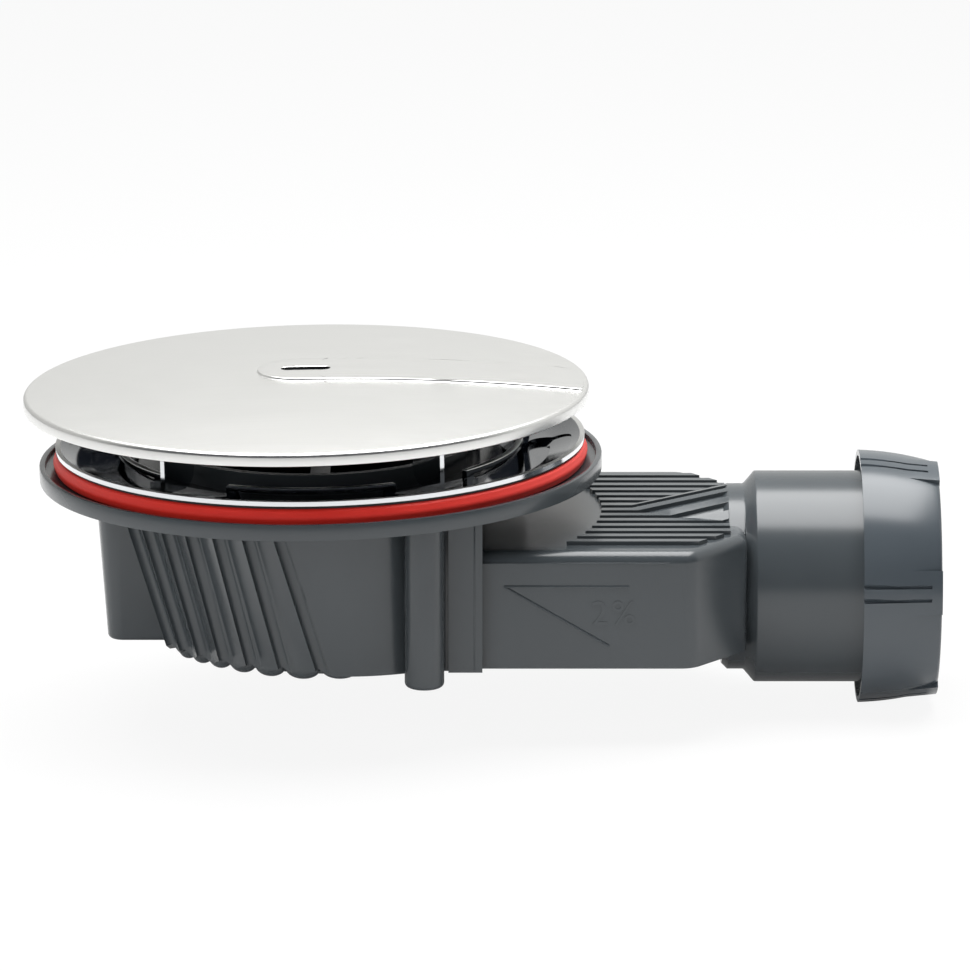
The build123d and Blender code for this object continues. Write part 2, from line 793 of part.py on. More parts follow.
# Rubber gasket in the mouth of the socket
with BuildPart() as outlet_gasket:
    with BuildSketch(pipe_section):
        with BuildLine():
            Polyline(
                (seat_start, pipe_bore - gasket_bore_gap),
                (gasket_end, pipe_bore - gasket_bore_gap),
                (gasket_end, gasket_seat_radius - ring_side_clearance),
                (seat_start, gasket_seat_radius - ring_side_clearance),
                close=True,
            )
        make_face()
    revolve(axis=pipe_axis)
outlet_gasket.part.label = "outlet_gasket"
export_step(outlet_gasket.part, "parts/outlet_gasket.step")

# Slip ring that keeps the turning nut from dragging on the gasket
with BuildPart() as slip_ring:
    with BuildSketch(pipe_section):
        with BuildLine():
            Polyline(
                (gasket_end, pipe_bore + gasket_bore_gap),
                (slip_ring_end, pipe_bore + gasket_bore_gap),
                (slip_ring_end, gasket_seat_radius - ring_side_clearance),
                (gasket_end, gasket_seat_radius - ring_side_clearance),
                close=True,
            )
        make_face()
    revolve(axis=pipe_axis)
slip_ring.part.label = "slip_ring"
export_step(slip_ring.part, "parts/slip_ring.step")

# Outlet nut: a barrel with grip lugs that stand out towards its end, and grooves that start at its rim
with BuildPart() as outlet_nut:
    with BuildSketch(pipe_section):
        with BuildLine():
            nut_hole = pipe_bore + nut_hole_clearance
            ring_space = gasket_seat_radius + ring_side_clearance
            thread = thread_radius + ring_side_clearance
            ring_space_start = socket_end + thread_clearance
            skirt_end = nut_start + nut_skirt_length
            skirt_bore = nut_rim_radius - nut_skirt_wall
            barrel_middle = ((nut_start + nut_end) / 2, nut_mid_radius)
            ThreePointArc((nut_start, nut_rim_radius), barrel_middle, (nut_end, nut_end_radius))
            Polyline(
                (nut_end, nut_end_radius),
                (nut_end, nut_hole),
                (slip_ring_end, nut_hole),
                (slip_ring_end, ring_space),
                (ring_space_start, ring_space),
                (ring_space_start, thread),
                (skirt_end, thread),
                (skirt_end, skirt_bore),
                (nut_start, skirt_bore),
                (nut_start, nut_rim_radius),
            )
        make_face()
        fillet(vertices().group_by(Axis.X)[-1].sort_by(Axis.Y)[-1], nut_edge_radius)
    revolve(axis=pipe_axis)
    lug_arc = degrees(lug_width / lug_end_radius)
    for i in range(lug_count):
        turn = 90 - lug_angle - lug_arc / 2 + i * 360 / lug_count
        lug_side = Vector(0, -1, 0).rotate(Axis((0, 0, 0), pipe_direction), turn)
        with BuildSketch(Plane(pipe_origin, x_dir=pipe_direction, z_dir=lug_side)):
            with BuildLine():
                Polyline(
                    (nut_end - lug_length, thread),
                    (nut_end - lug_length, nut_mid_radius),
                    (nut_end, lug_end_radius),
                    (nut_end, ring_space),
                    (ring_space_start, ring_space),
                    (ring_space_start, thread),
                    close=True,
                )
            make_face()
        revolve(axis=pipe_axis, revolution_arc=lug_arc)
    groove_turn = degrees(groove_pitch / 2 / nut_rim_radius)
    groove_rise = 2 * (nut_rim_radius - groove_floor_radius)
    rim_centre = pipe_origin + pipe_direction * nut_start
    with BuildSketch(Plane(rim_centre, x_dir=(0, -1, 0), z_dir=pipe_direction)):
        for turn in (-groove_turn, groove_turn):
            with PolarLocations(groove_floor_radius, lug_count, start_angle=turn - lug_angle):
                Polygon((0, 0), (groove_rise, groove_width), (groove_rise, -groove_width), align=None)
    extrude(amount=groove_length, mode=Mode.SUBTRACT)
outlet_nut.part.label = "outlet_nut"
export_step(outlet_nut.part, "parts/outlet_nut.step")
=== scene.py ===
import bpy
from math import atan, cos, hypot, radians, sin, sqrt
from mathutils import Matrix, Vector


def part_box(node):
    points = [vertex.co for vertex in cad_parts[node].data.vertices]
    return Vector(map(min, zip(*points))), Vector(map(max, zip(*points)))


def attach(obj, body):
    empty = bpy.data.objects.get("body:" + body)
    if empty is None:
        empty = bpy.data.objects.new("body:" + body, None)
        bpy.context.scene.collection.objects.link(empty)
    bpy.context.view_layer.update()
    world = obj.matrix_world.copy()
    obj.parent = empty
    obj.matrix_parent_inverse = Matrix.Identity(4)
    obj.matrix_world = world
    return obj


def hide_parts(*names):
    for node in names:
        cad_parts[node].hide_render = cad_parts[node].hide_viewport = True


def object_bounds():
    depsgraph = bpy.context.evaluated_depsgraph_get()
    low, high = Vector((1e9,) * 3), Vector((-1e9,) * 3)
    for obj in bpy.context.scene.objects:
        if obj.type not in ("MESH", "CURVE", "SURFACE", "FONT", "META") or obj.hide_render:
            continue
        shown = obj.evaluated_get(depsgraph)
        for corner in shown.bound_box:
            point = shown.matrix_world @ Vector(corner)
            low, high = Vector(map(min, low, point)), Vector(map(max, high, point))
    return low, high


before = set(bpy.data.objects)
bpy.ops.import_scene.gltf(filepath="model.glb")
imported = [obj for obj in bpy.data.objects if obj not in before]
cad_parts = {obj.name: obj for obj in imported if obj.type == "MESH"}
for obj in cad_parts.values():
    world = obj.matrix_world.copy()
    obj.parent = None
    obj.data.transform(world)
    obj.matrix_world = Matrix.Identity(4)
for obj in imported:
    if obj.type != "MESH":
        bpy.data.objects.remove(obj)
cad_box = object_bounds()

# Lengths are in metres unless a comment says mm, and angles in degrees
MM = 0.001

# The trap's floor and outlet fall about Y, by 2 % of their run
FALL = atan(0.02)

# Turns a point of the falling lower body back to level
LEVEL = Matrix.Rotation(-FALL, 3, "Y")

# Meshing: distance at which vertices are one, angle up to which CAD facets are one flat face,
# and steps of turned pieces, of prisms' ends, of the flutes' tools and of fine rods
WELD = 0.002 * MM
FLAT_ANGLE = 0.2
ROUND_STEPS = 256
PRISM_STEPS = 128
FLUTE_STEPS = 32
ROD_STEPS = 8

# Body: flange and outlet, where edges are softened
FLANGE_RADIUS = 57.3 * MM
FLANGE_LIP = 1.2 * MM
FLANGE_THICKNESS = 3.3 * MM
FLANGE_LOW = -1.1 * FLANGE_THICKNESS
FLANGE_EDGE = 0.25 * MM
OUTLET_DEPTH = 25.4 * MM
OUTLET_EDGE = 0.25 * MM
NECK_START = 86.0 * MM
NECK_RADIUS = 18.8 * MM

# Flutes: crest lines from the flange down to the bowl's floor. Each row of crests has its first
# angle from the front, its pitch, and the growth of the pitch from one crest to the next
FLUTES = 7
FLUTE_TOP = (-64.8, 9.27, 0.976)
FLUTE_TOP_RADIUS = 45.45 * MM
FLUTE_TOP_HEIGHT = -2.1 * MM
FLUTE_LOW = (-57.6, 6.58, 1.098)
FLUTE_LOW_RADIUS = 42.5 * MM
FLUTE_LOW_HEIGHT = -35.5 * MM
FLUTE_LOW_SHIFT = 5.5 * MM

# Cove beside each crest: it starts just below the flange and runs out below the floor
COVE_RADIUS = 1.5 * MM
COVE_TOP_INSET = 0.5 * MM
COVE_LOW_INSET = 0.25 * MM
COVE_STOP = 0.02 * MM
COVE_RUN = 60.0 * MM

# Lobes that close the flutes' lower ends: share of a flute's width, half thickness, half height,
# how far they hang below the floor, and how deep their face lies under the crests
LOBE_FILL = 0.98
LOBE_THICKNESS = 2.0 * MM
LOBE_HEIGHT = 2.0 * MM
LOBE_HANG = 1.0 * MM
LOBE_FACE = 1.4 * MM
LAST_LOBE_FACE = 2.3 * MM

# Fall mark on the outlet box: front wall, ends of its two lines as (x, height) in mm, and figure
WALL = 34.5 * MM
MARK_APEX = (37.3, -18.5)
MARK_LEVEL = (62.3, -18.5)
MARK_SLOPE = (58.4, -30.8)
MARK_RIDGE = 0.28 * MM
FIGURE_PLACE = (54.6, -26.4)
FIGURE_SIZE = 7.2 * MM
FIGURE_RELIEF = 0.18 * MM
FIGURE_SPACE = 0.3

# Moulding lines on the front wall and on the pilaster, from (x, height) to (x, height) in mm
PARTING = ((33.0, -13.7), (70.5, -13.7))
PILASTER_STEP = ((31.4, -35.0), (31.4, -4.5))
PILASTER_FACE = 37.5 * MM
PARTING_RIDGE = 0.14 * MM

# Web between post and pilaster
WEB_LEFT, WEB_RIGHT = 25.0 * MM, 26.6 * MM
WEB_BACK, WEB_FACE = 33.0 * MM, 36.7 * MM
WEB_LOW, WEB_HIGH = -35.4 * MM, -3.2 * MM
WEB_EDGE = 0.15 * MM

# Nut: pairs of grooves along its barrel
GROOVE_PAIRS = 5
GROOVE_ANGLE = 6.1
GROOVE_HALF_ANGLE = 3.2
GROOVE_START, GROOVE_START_RADIUS = 109.0 * MM, 25.9 * MM
GROOVE_END, GROOVE_END_RADIUS = 123.5 * MM, 24.3 * MM
GROOVE_RADIUS = 0.38 * MM

# Collar: width of its bright rim, inside which the dish is painted darker as shade, and where the
# tops of its lips are
RIM_WIDTH = 1.25 * MM
LIP_HEIGHT = 3.15 * MM
LIP_INSET = 8.0 * MM
LIP_EDGE = 0.2 * MM

# Height above which the carrier is its plate, painted black as shade, and no longer its legs
CARRIER_PLATE = 12.3 * MM

# Tray seal: section, bulge of its side and rounding of its edges
SEAL_WIDTH = 6.9 * MM
SEAL_TOP_SLOPE = 0.404
SEAL_BULGE = 0.3 * MM
SEAL_BULGE_STEPS = 6
SEAL_ROUNDING = 0.9 * MM

# Cover: sheet, dome, turned-down rim, raised band and lifting slot
COVER_SHEET = 1.0 * MM
COVER_CROWN = 3.5 * MM
COVER_EDGE_ROUNDING = 0.9 * MM
COVER_HEM_ROUNDING = 0.3 * MM
CROWN_HOLE = 0.5 * MM
DOME_RINGS = 24
BAND_HEIGHT = 0.5 * MM
BAND_BORDER = 1.5 * BAND_HEIGHT
BAND_WIDTH = 18.0 * MM
BAND_REACH = 9.8 * MM
BAND_ROUNDING = 0.22 * MM
SLOT_LENGTH = 10.0 * MM
SLOT_WIDTH = 3.1 * MM
SLOT_DEPTH = 0.35 * MM
SLOT_GAP = 0.05 * MM
SLOT_WALL_NORMAL = 0.5

# Floor: size, gap below the object, and how white it is to the camera and in mirrors
FLOOR_SIZE = 8.0
FLOOR_GAP = 0.2 * MM
FLOOR_SEEN = 0.9
FLOOR_MIRRORED = 0.15

# World: where, along the direction of sight, the front turns to the back and left to right
ROOM_TURN = (-0.35, 0.15)
COVE_SPAN = (-0.5, 0.5)

# Lamps: place, size in metres and power in watts
SOFTBOX_PLACE = (0.05, 0.05, 0.5)
SOFTBOX_SIZE = (0.66, 0.52)
SOFTBOX_POWER = 8.6
FILL_PLACE = (-0.55, -1.0, 0.4)
FILL_SIZE = 0.8
FILL_POWER = 6.0

# Camera: place in mm, tilt, sensor width in mm, and focal length and width in pixels
CAMERA_PLACE = (40.22, -1362.5, 335.66)
CAMERA_TILT = 75.88
CAMERA_SENSOR = 36
CAMERA_FOCAL = 6884
CAMERA_WIDTH = 970
CAMERA_SIGHT = 100


def deselect():
    """Nothing selected, in object mode."""
    bpy.ops.object.select_all(action="DESELECT")


def activate(piece):
    """One piece selected and active."""
    deselect()
    piece.select_set(True)
    bpy.context.view_layer.objects.active = piece


def apply_modifier(piece, kind, **settings):
    """Add a modifier to a piece, set it and apply it."""
    activate(piece)
    modifier = piece.modifiers.new(kind.lower(), kind)
    for name, value in settings.items():
        setattr(modifier, name, value)
    bpy.ops.object.modifier_apply(modifier=modifier.name)


def everywhere(point):
    """Rule that chooses every point."""
    return True


def pick(piece, chosen):
    """Edit mode on a piece, with the vertices that a rule chooses selected."""
    activate(piece)
    bpy.ops.object.mode_set(mode="EDIT")
    bpy.ops.mesh.select_mode(type="VERT")
    bpy.ops.mesh.select_all(action="DESELECT")
    bpy.ops.object.mode_set(mode="OBJECT")
    for vertex in piece.data.vertices:
        vertex.select = chosen(vertex.co)
    bpy.ops.object.mode_set(mode="EDIT")


def soften(piece, width, chosen, steps, angle):
    """Round the edges sharper than an angle that a rule chooses by their middle."""
    activate(piece)
    bpy.ops.object.mode_set(mode="EDIT")
    bpy.ops.mesh.select_mode(type="EDGE")
    bpy.ops.mesh.select_all(action="DESELECT")
    bpy.ops.mesh.edges_select_sharp(sharpness=radians(angle))
    bpy.ops.object.mode_set(mode="OBJECT")
    points = [vertex.co for vertex in piece.data.vertices]
    sharp = [e for e in piece.data.edges if e.select]
    kept = [e for e in sharp if chosen((points[e.vertices[0]] + points[e.vertices[1]]) / 2)]
    for part in (piece.data.vertices, piece.data.edges, piece.data.polygons):
        part.foreach_set("select", [False] * len(part))
    for edge in kept:
        edge.select = True
    bpy.ops.object.mode_set(mode="EDIT")
    bpy.ops.mesh.bevel(offset=width, segments=steps, affect="EDGES", clamp_overlap=False)
    bpy.ops.mesh.select_mode(type="VERT")
    bpy.ops.object.mode_set(mode="OBJECT")


def weld(piece):
    """Make one vertex of those that lie on each other."""
    pick(piece, everywhere)
    bpy.ops.mesh.remove_doubles(threshold=WELD)
    bpy.ops.object.mode_set(mode="OBJECT")


def combine(piece, tool, operation):
    """Cut a piece by a tool, or join them, and take the tool away."""
    apply_modifier(piece, "BOOLEAN", operation=operation, object=tool, solver="EXACT")
    activate(tool)
    bpy.ops.object.delete()


def joined(name, pieces):
    """Several pieces as one."""
    deselect()
    for piece in pieces:
        piece.select_set(True)
    bpy.context.view_layer.objects.active = pieces[0]
    bpy.ops.object.join()
    pieces[0].name = name
    return pieces[0]


def prism(name, centre, radius, left, right, bottom, top):
    """Upright prism with round ends, pulled out to the left and to the right of a centre."""
    deselect()
    bpy.ops.mesh.primitive_circle_add(vertices=PRISM_STEPS, radius=radius, fill_type="NGON",
                                      location=(centre, 0, bottom))
    bpy.ops.object.transform_apply(location=True)
    piece = bpy.context.object
    piece.name = name
    pick(piece, lambda point: point.x < centre - WELD)
    bpy.ops.transform.translate(value=(-left, 0, 0))
    bpy.ops.object.mode_set(mode="OBJECT")
    pick(piece, lambda point: point.x > centre + WELD)
    bpy.ops.transform.translate(value=(right, 0, 0))
    bpy.ops.mesh.select_all(action="SELECT")
    bpy.ops.mesh.extrude_region_move(TRANSFORM_OT_translate={"value": (0, 0, top - bottom)})
    bpy.ops.mesh.select_all(action="SELECT")
    bpy.ops.mesh.normals_make_consistent(inside=False)
    bpy.ops.object.mode_set(mode="OBJECT")
    return piece


def fallen(point):
    """Where a point of the level body lies on the body that falls."""
    return LEVEL.inverted() @ Vector(point)


def rod(start, end, radius):
    """Fine rod from one point of the level body to another."""
    first, last = fallen(start), fallen(end)
    along = last - first
    deselect()
    bpy.ops.mesh.primitive_cylinder_add(vertices=ROD_STEPS, radius=radius, depth=along.length,
                                        location=(first + last) / 2,
                                        rotation=along.to_track_quat("Z", "Y").to_euler())
    bpy.ops.object.transform_apply(location=True, rotation=True)
    return bpy.context.object


def welded_copy(node, name):
    """Copy of a CAD node with its loose triangles joined and its flat faces whole."""
    activate(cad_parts[node])
    bpy.ops.object.duplicate()
    piece = bpy.context.object
    piece.name = name
    piece.data.name = name
    piece.data.materials.clear()
    bpy.ops.mesh.customdata_custom_splitnormals_clear()
    bpy.ops.object.mode_set(mode="EDIT")
    bpy.ops.mesh.select_all(action="SELECT")
    bpy.ops.mesh.remove_doubles(threshold=WELD)
    bpy.ops.mesh.dissolve_limited(angle_limit=radians(FLAT_ANGLE))
    bpy.ops.object.mode_set(mode="OBJECT")
    return piece


def turned(name, profile):
    """Closed ring about Z, walked ring by ring along a closed profile of (radius, height)."""
    deselect()
    radius, height = profile[0]
    bpy.ops.mesh.primitive_circle_add(vertices=ROUND_STEPS, radius=radius, location=(0, 0, height))
    bpy.ops.object.transform_apply(location=True)
    piece = bpy.context.object
    piece.name = name
    bpy.ops.object.mode_set(mode="EDIT")
    bpy.ops.mesh.select_all(action="SELECT")
    for next_radius, next_height in profile[1:] + profile[:1]:
        rise = (0, 0, next_height - height)
        bpy.ops.mesh.extrude_edges_move(TRANSFORM_OT_translate={"value": rise})
        grow = next_radius / radius
        bpy.ops.transform.resize(value=(grow, grow, 1), center_override=(0, 0, next_height))
        radius, height = next_radius, next_height
    bpy.ops.mesh.select_all(action="SELECT")
    bpy.ops.mesh.remove_doubles(threshold=WELD)
    bpy.ops.mesh.normals_make_consistent(inside=False)
    bpy.ops.object.mode_set(mode="OBJECT")
    return piece


def rounded(centre, radius, start, end, steps):
    """Points of an arc in a profile, from one angle to another."""
    turns = [radians(start + (end - start) * i / steps) for i in range(steps + 1)]
    return [(centre[0] + radius * cos(t), centre[1] + radius * sin(t)) for t in turns]


def smooth(piece, angle):
    """Smooth shading up to an angle."""
    activate(piece)
    bpy.ops.object.shade_smooth_by_angle(angle=radians(angle))


def dress(piece, material, slot, *nodes):
    """Material, body and the CAD nodes that a finished piece stands for; the slot argument is not
    used.
    """
    piece.data.materials.clear()
    piece.data.materials.append(material)
    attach(piece, "root")
    if nodes:
        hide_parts(*nodes)


def colour(code):
    """Linear colour of an sRGB hex code."""
    shades = [int(code[i:i + 2], 16) / 255 for i in (1, 3, 5)]
    return [c / 12.92 if c <= 0.04045 else ((c + 0.055) / 1.055) ** 2.4 for c in shades] + [1.0]


def per(size_mm):
    """Texture scale that repeats about once in a real size."""
    return 1 / (size_mm * MM)


def put(tree, kind, values=None, links=None, **settings):
    """Add a node with its settings, socket values and links."""
    node = tree.nodes.new(kind)
    for name, value in settings.items():
        setattr(node, name, value)
    for name, value in (values or {}).items():
        node.inputs[name].default_value = value
    for name, source in (links or {}).items():
        tree.links.new(source, node.inputs[name])
    return node


def cleared(block):
    """Empty node tree of a material or a world."""
    block.use_nodes = True
    block.node_tree.nodes.clear()
    return block.node_tree


def new_material(name):
    """Node material with its shader, and the tree they are in."""
    material = bpy.data.materials.new(name)
    tree = cleared(material)
    shader = put(tree, "ShaderNodeBsdfPrincipled")
    put(tree, "ShaderNodeOutputMaterial", links={"Surface": shader.outputs["BSDF"]})
    return material, tree, shader


def moulded_polypropylene(name, dark, light):
    """Semi-gloss moulding: a faint spark-eroded grain, and slow changes of shade and gloss from
    the flow."""
    material, tree, shader = new_material(name)
    shader.inputs["IOR"].default_value = 1.49
    place = put(tree, "ShaderNodeTexCoord").outputs["Object"]
    flow = put(tree, "ShaderNodeTexNoise", {"Scale": per(24), "Detail": 3.0}, {"Vector": place})
    shade = put(tree, "ShaderNodeMixRGB", {"Color1": colour(dark), "Color2": colour(light)},
                {"Fac": flow.outputs["Fac"]})
    tree.links.new(shade.outputs["Color"], shader.inputs["Base Color"])
    gloss = put(tree, "ShaderNodeMapRange", {"To Min": 0.20, "To Max": 0.265},
                {"Value": flow.outputs["Fac"]})
    tree.links.new(gloss.outputs["Result"], shader.inputs["Roughness"])
    grain = put(tree, "ShaderNodeTexNoise", {"Scale": per(0.5), "Detail": 2.0}, {"Vector": place})
    bump = put(tree, "ShaderNodeBump", {"Strength": 0.12, "Distance": 0.02 * MM},
               {"Height": grain.outputs["Fac"]})
    tree.links.new(bump.outputs["Normal"], shader.inputs["Normal"])
    return material


def soft_rubber(name, dark, light, roughness):
    """Moulded rubber: satin, with faint cloudy changes of colour and a soft skin."""
    material, tree, shader = new_material(name)
    shader.inputs["IOR"].default_value = 1.5
    place = put(tree, "ShaderNodeTexCoord").outputs["Object"]
    cloud = put(tree, "ShaderNodeTexNoise", {"Scale": per(9), "Detail": 4.0}, {"Vector": place})
    shade = put(tree, "ShaderNodeMixRGB", {"Color1": colour(dark), "Color2": colour(light)},
                {"Fac": cloud.outputs["Fac"]})
    tree.links.new(shade.outputs["Color"], shader.inputs["Base Color"])
    shader.inputs["Roughness"].default_value = roughness
    skin = put(tree, "ShaderNodeTexNoise", {"Scale": per(0.8), "Detail": 2.0}, {"Vector": place})
    bump = put(tree, "ShaderNodeBump", {"Strength": 0.15, "Distance": 0.02 * MM},
               {"Height": skin.outputs["Fac"]})
    tree.links.new(bump.outputs["Normal"], shader.inputs["Normal"])
    return material


def brushed_stainless(name):
    """Satin steel sheet: fine straight brush lines along X, drawn coarser than the real ones so
    that they show."""
    material, tree, shader = new_material(name)
    shader.inputs["Metallic"].default_value = 1.0
    place = put(tree, "ShaderNodeTexCoord").outputs["Object"]
    along = put(tree, "ShaderNodeMapping", {"Scale": (per(30), per(0.45), per(0.45))},
                {"Vector": place})
    lines = put(tree, "ShaderNodeTexNoise", {"Scale": 1.0, "Detail": 4.0},
                {"Vector": along.outputs["Vector"]})
    shade = put(tree, "ShaderNodeMixRGB",
                {"Color1": colour("#d6d6d4"), "Color2": colour("#dededc")},
                {"Fac": lines.outputs["Fac"]})
    tree.links.new(shade.outputs["Color"], shader.inputs["Base Color"])
    gloss = put(tree, "ShaderNodeMapRange", {"To Min": 0.28, "To Max": 0.36},
                {"Value": lines.outputs["Fac"]})
    tree.links.new(gloss.outputs["Result"], shader.inputs["Roughness"])
    bump = put(tree, "ShaderNodeBump", {"Strength": 0.1, "Distance": 0.01 * MM},
               {"Height": lines.outputs["Fac"]})
    tree.links.new(bump.outputs["Normal"], shader.inputs["Normal"])
    return material


def polished_chrome(name, code):
    """Bright plating: mirror-like, with a faint bloom where it was handled."""
    material, tree, shader = new_material(name)
    shader.inputs["Metallic"].default_value = 1.0
    shader.inputs["Base Color"].default_value = colour(code)
    place = put(tree, "ShaderNodeTexCoord").outputs["Object"]
    bloom = put(tree, "ShaderNodeTexNoise", {"Scale": per(12), "Detail": 5.0}, {"Vector": place})
    gloss = put(tree, "ShaderNodeMapRange", {"To Min": 0.05, "To Max": 0.14},
                {"Value": bloom.outputs["Fac"]})
    tree.links.new(gloss.outputs["Result"], shader.inputs["Roughness"])
    return material


grey_plastic = moulded_polypropylene("moulded_polypropylene", "#363a3d", "#3e4346")
nut_plastic = moulded_polypropylene("moulded_nut_polypropylene", "#3b4146", "#444a4f")
red_rubber = soft_rubber("red_rubber", "#d92a22", "#e2372c", 0.5)
# Near black that stands in for shade: painted shade on the carrier's plate, inside the cover and
# in its slot
shade_black = moulded_polypropylene("painted_shade_black", "#131415", "#191a1b")
black_rubber = soft_rubber("black_rubber", "#111213", "#191a1b", 0.55)
steel = brushed_stainless("brushed_stainless")
chrome = polished_chrome("polished_chrome", "#d2d4d6")
# Chrome darkened for the collar's dish: painted shade and dark reflection under the cover
shade_chrome = polished_chrome("painted_shade_chrome", "#5a5d61")

# Body: the moulding, with a cove and a lobe at each flute, and soft edges on flange and outlet
body = welded_copy("trap_body", "body_moulding")


def on_flange(point):
    """Whether a point is on the flange's outer lip."""
    lip = FLANGE_RADIUS - FLANGE_LIP - FLANGE_EDGE
    return hypot(point.x, point.y) > lip and point.z > FLANGE_LOW


def on_outlet(point):
    """Whether a point is on the outside of the neck, shoulder and socket."""
    level = LEVEL @ point
    return level.x > NECK_START and hypot(level.y, level.z + OUTLET_DEPTH) > NECK_RADIUS


def crest_turn(i, first, pitch, growth):
    """Angle of a flute's crest from the front, in radians."""
    return radians(first + pitch * (growth**i - 1) / (growth - 1))


def cove_centre(i, row, radius, shift, height):
    """Centre of the cove beside a flute's crest at a height."""
    turn = crest_turn(i, *row)
    out, along = Vector((sin(turn), -cos(turn), 0)), Vector((cos(turn), sin(turn), 0))
    return out * radius + along * COVE_RADIUS + Vector((shift, 0, height))


def cove(i, side):
    """Leaning rod that cuts the cove beside a flute's crest, in front (1) or behind (-1)."""
    upper = fallen(cove_centre(i, FLUTE_TOP, FLUTE_TOP_RADIUS - COVE_TOP_INSET, 0,
                               FLUTE_TOP_HEIGHT))
    lower = fallen(cove_centre(i, FLUTE_LOW, FLUTE_LOW_RADIUS - COVE_LOW_INSET, FLUTE_LOW_SHIFT,
                               FLUTE_LOW_HEIGHT))
    lean = (upper - lower) / (upper.z - lower.z)
    start = upper - lean * (upper.z + FLANGE_THICKNESS + COVE_STOP)
    end = upper - lean * COVE_RUN
    rise = (start.x - end.x, side * (start.y - end.y), start.z - end.z)
    deselect()
    bpy.ops.mesh.primitive_circle_add(vertices=FLUTE_STEPS, radius=COVE_RADIUS, fill_type="NGON",
                                      location=(end.x, side * end.y, end.z))
    bpy.ops.object.transform_apply(location=True)
    piece = bpy.context.object
    pick(piece, everywhere)
    bpy.ops.mesh.extrude_region_move(TRANSFORM_OT_translate={"value": rise})
    bpy.ops.mesh.select_all(action="SELECT")
    bpy.ops.mesh.normals_make_consistent(inside=False)
    bpy.ops.object.mode_set(mode="OBJECT")
    return piece


def lobe(i, side):
    """Rounded foot that closes a flute's lower end, in front (1) or behind (-1)."""
    left, right = crest_turn(i, *FLUTE_LOW), crest_turn(i + 1, *FLUTE_LOW)
    turn = (left + right) / 2
    face = LOBE_FACE if i < FLUTES - 1 else LAST_LOBE_FACE
    radius = FLUTE_LOW_RADIUS - face - LOBE_THICKNESS
    half_width = LOBE_FILL * radius * (right - left) / 2
    centre = fallen((FLUTE_LOW_SHIFT + radius * sin(turn), -radius * cos(turn),
                     FLUTE_LOW_HEIGHT + LOBE_HEIGHT - LOBE_HANG))
    deselect()
    bpy.ops.mesh.primitive_uv_sphere_add(segments=FLUTE_STEPS, ring_count=FLUTE_STEPS // 2,
                                         radius=1, rotation=(0, 0, side * turn),
                                         location=(centre.x, side * centre.y, centre.z),
                                         scale=(half_width, LOBE_THICKNESS, LOBE_HEIGHT))
    bpy.ops.object.transform_apply(location=True, rotation=True, scale=True)
    return bpy.context.object


both_sides = [(i, side) for i in range(FLUTES) for side in (1, -1)]
combine(body, joined("coves", [cove(*place) for place in both_sides]), "DIFFERENCE")
combine(body, joined("lobes", [lobe(*place) for place in both_sides]), "UNION")
soften(body, FLANGE_EDGE, on_flange, steps=2, angle=35)
soften(body, OUTLET_EDGE, on_outlet, steps=2, angle=20)
weld(body)
smooth(body, angle=30)
dress(body, grey_plastic, "grey_plastic", "trap_body")


# Fall mark, parting lines and pilaster steps, as fine ridges on the walls
def ridge(start, end, face, side, radius):
    """Fine ridge with soft ends between two points of an upright face, in front (1) or behind."""
    piece = rod(*((x * MM, -side * face, z * MM) for x, z in (start, end)), radius)
    apply_modifier(piece, "BEVEL", width=radius / 2, segments=2, limit_method="ANGLE",
                   angle_limit=radians(60))
    return piece


figure_x, figure_height = FIGURE_PLACE
bpy.ops.object.text_add(radius=FIGURE_SIZE, rotation=(radians(90), FALL, 0),
                        location=fallen((figure_x * MM, -WALL, figure_height * MM)))
figure = bpy.context.object
figure.data.body = "2 %"
figure.data.space_word = FIGURE_SPACE
figure.data.extrude = FIGURE_RELIEF
activate(figure)
bpy.ops.object.convert(target="MESH")
bpy.ops.object.transform_apply(location=True, rotation=True)
arms = [ridge(MARK_APEX, end, WALL, 1, MARK_RIDGE) for end in (MARK_LEVEL, MARK_SLOPE)]
marks = joined("fall_mark", arms + [figure])
smooth(marks, angle=40)
dress(marks, grey_plastic, "grey_plastic")
lines = joined("moulding_lines",
               [ridge(*ends, face, side, PARTING_RIDGE) for side in (1, -1)
                for ends, face in ((PARTING, WALL), (PILASTER_STEP, PILASTER_FACE))])
smooth(lines, angle=40)
dress(lines, grey_plastic, "grey_plastic")


def web(side):
    """Web that closes the slit between a post and its pilaster, in front (1) or behind (-1)."""
    middle = ((WEB_LEFT + WEB_RIGHT) / 2, -side * (WEB_BACK + WEB_FACE) / 2,
              (WEB_LOW + WEB_HIGH) / 2)
    size = (WEB_RIGHT - WEB_LEFT, WEB_FACE - WEB_BACK, WEB_HIGH - WEB_LOW)
    deselect()
    bpy.ops.mesh.primitive_cube_add(size=1, location=fallen(middle), rotation=(0, FALL, 0),
                                    scale=size)
    bpy.ops.object.transform_apply(location=True, rotation=True, scale=True)
    piece = bpy.context.object
    apply_modifier(piece, "BEVEL", width=WEB_EDGE, segments=2)
    return piece


webs = joined("post_webs", [web(1), web(-1)])
smooth(webs, angle=40)
dress(webs, grey_plastic, "grey_plastic")

# Nut on the outlet, with its grooves cut longer
nut = welded_copy("outlet_nut", "compression_nut")


def on_nut(along, radius, turn):
    """Point of the nut at a place along its axis, a radius and an angle from the front."""
    return along, -radius * cos(radians(turn)), radius * sin(radians(turn)) - OUTLET_DEPTH


pairs = [360 / GROOVE_PAIRS * i for i in range(GROOVE_PAIRS)]
turns = [pair + half for pair in pairs for half in (-GROOVE_HALF_ANGLE, GROOVE_HALF_ANGLE)]
grooves = [rod(on_nut(GROOVE_START, GROOVE_START_RADIUS, GROOVE_ANGLE + turn),
               on_nut(GROOVE_END, GROOVE_END_RADIUS, GROOVE_ANGLE + turn), GROOVE_RADIUS)
           for turn in turns]
combine(nut, joined("grooves", grooves), "DIFFERENCE")
smooth(nut, angle=25)
dress(nut, nut_plastic, "grey_plastic", "outlet_nut")
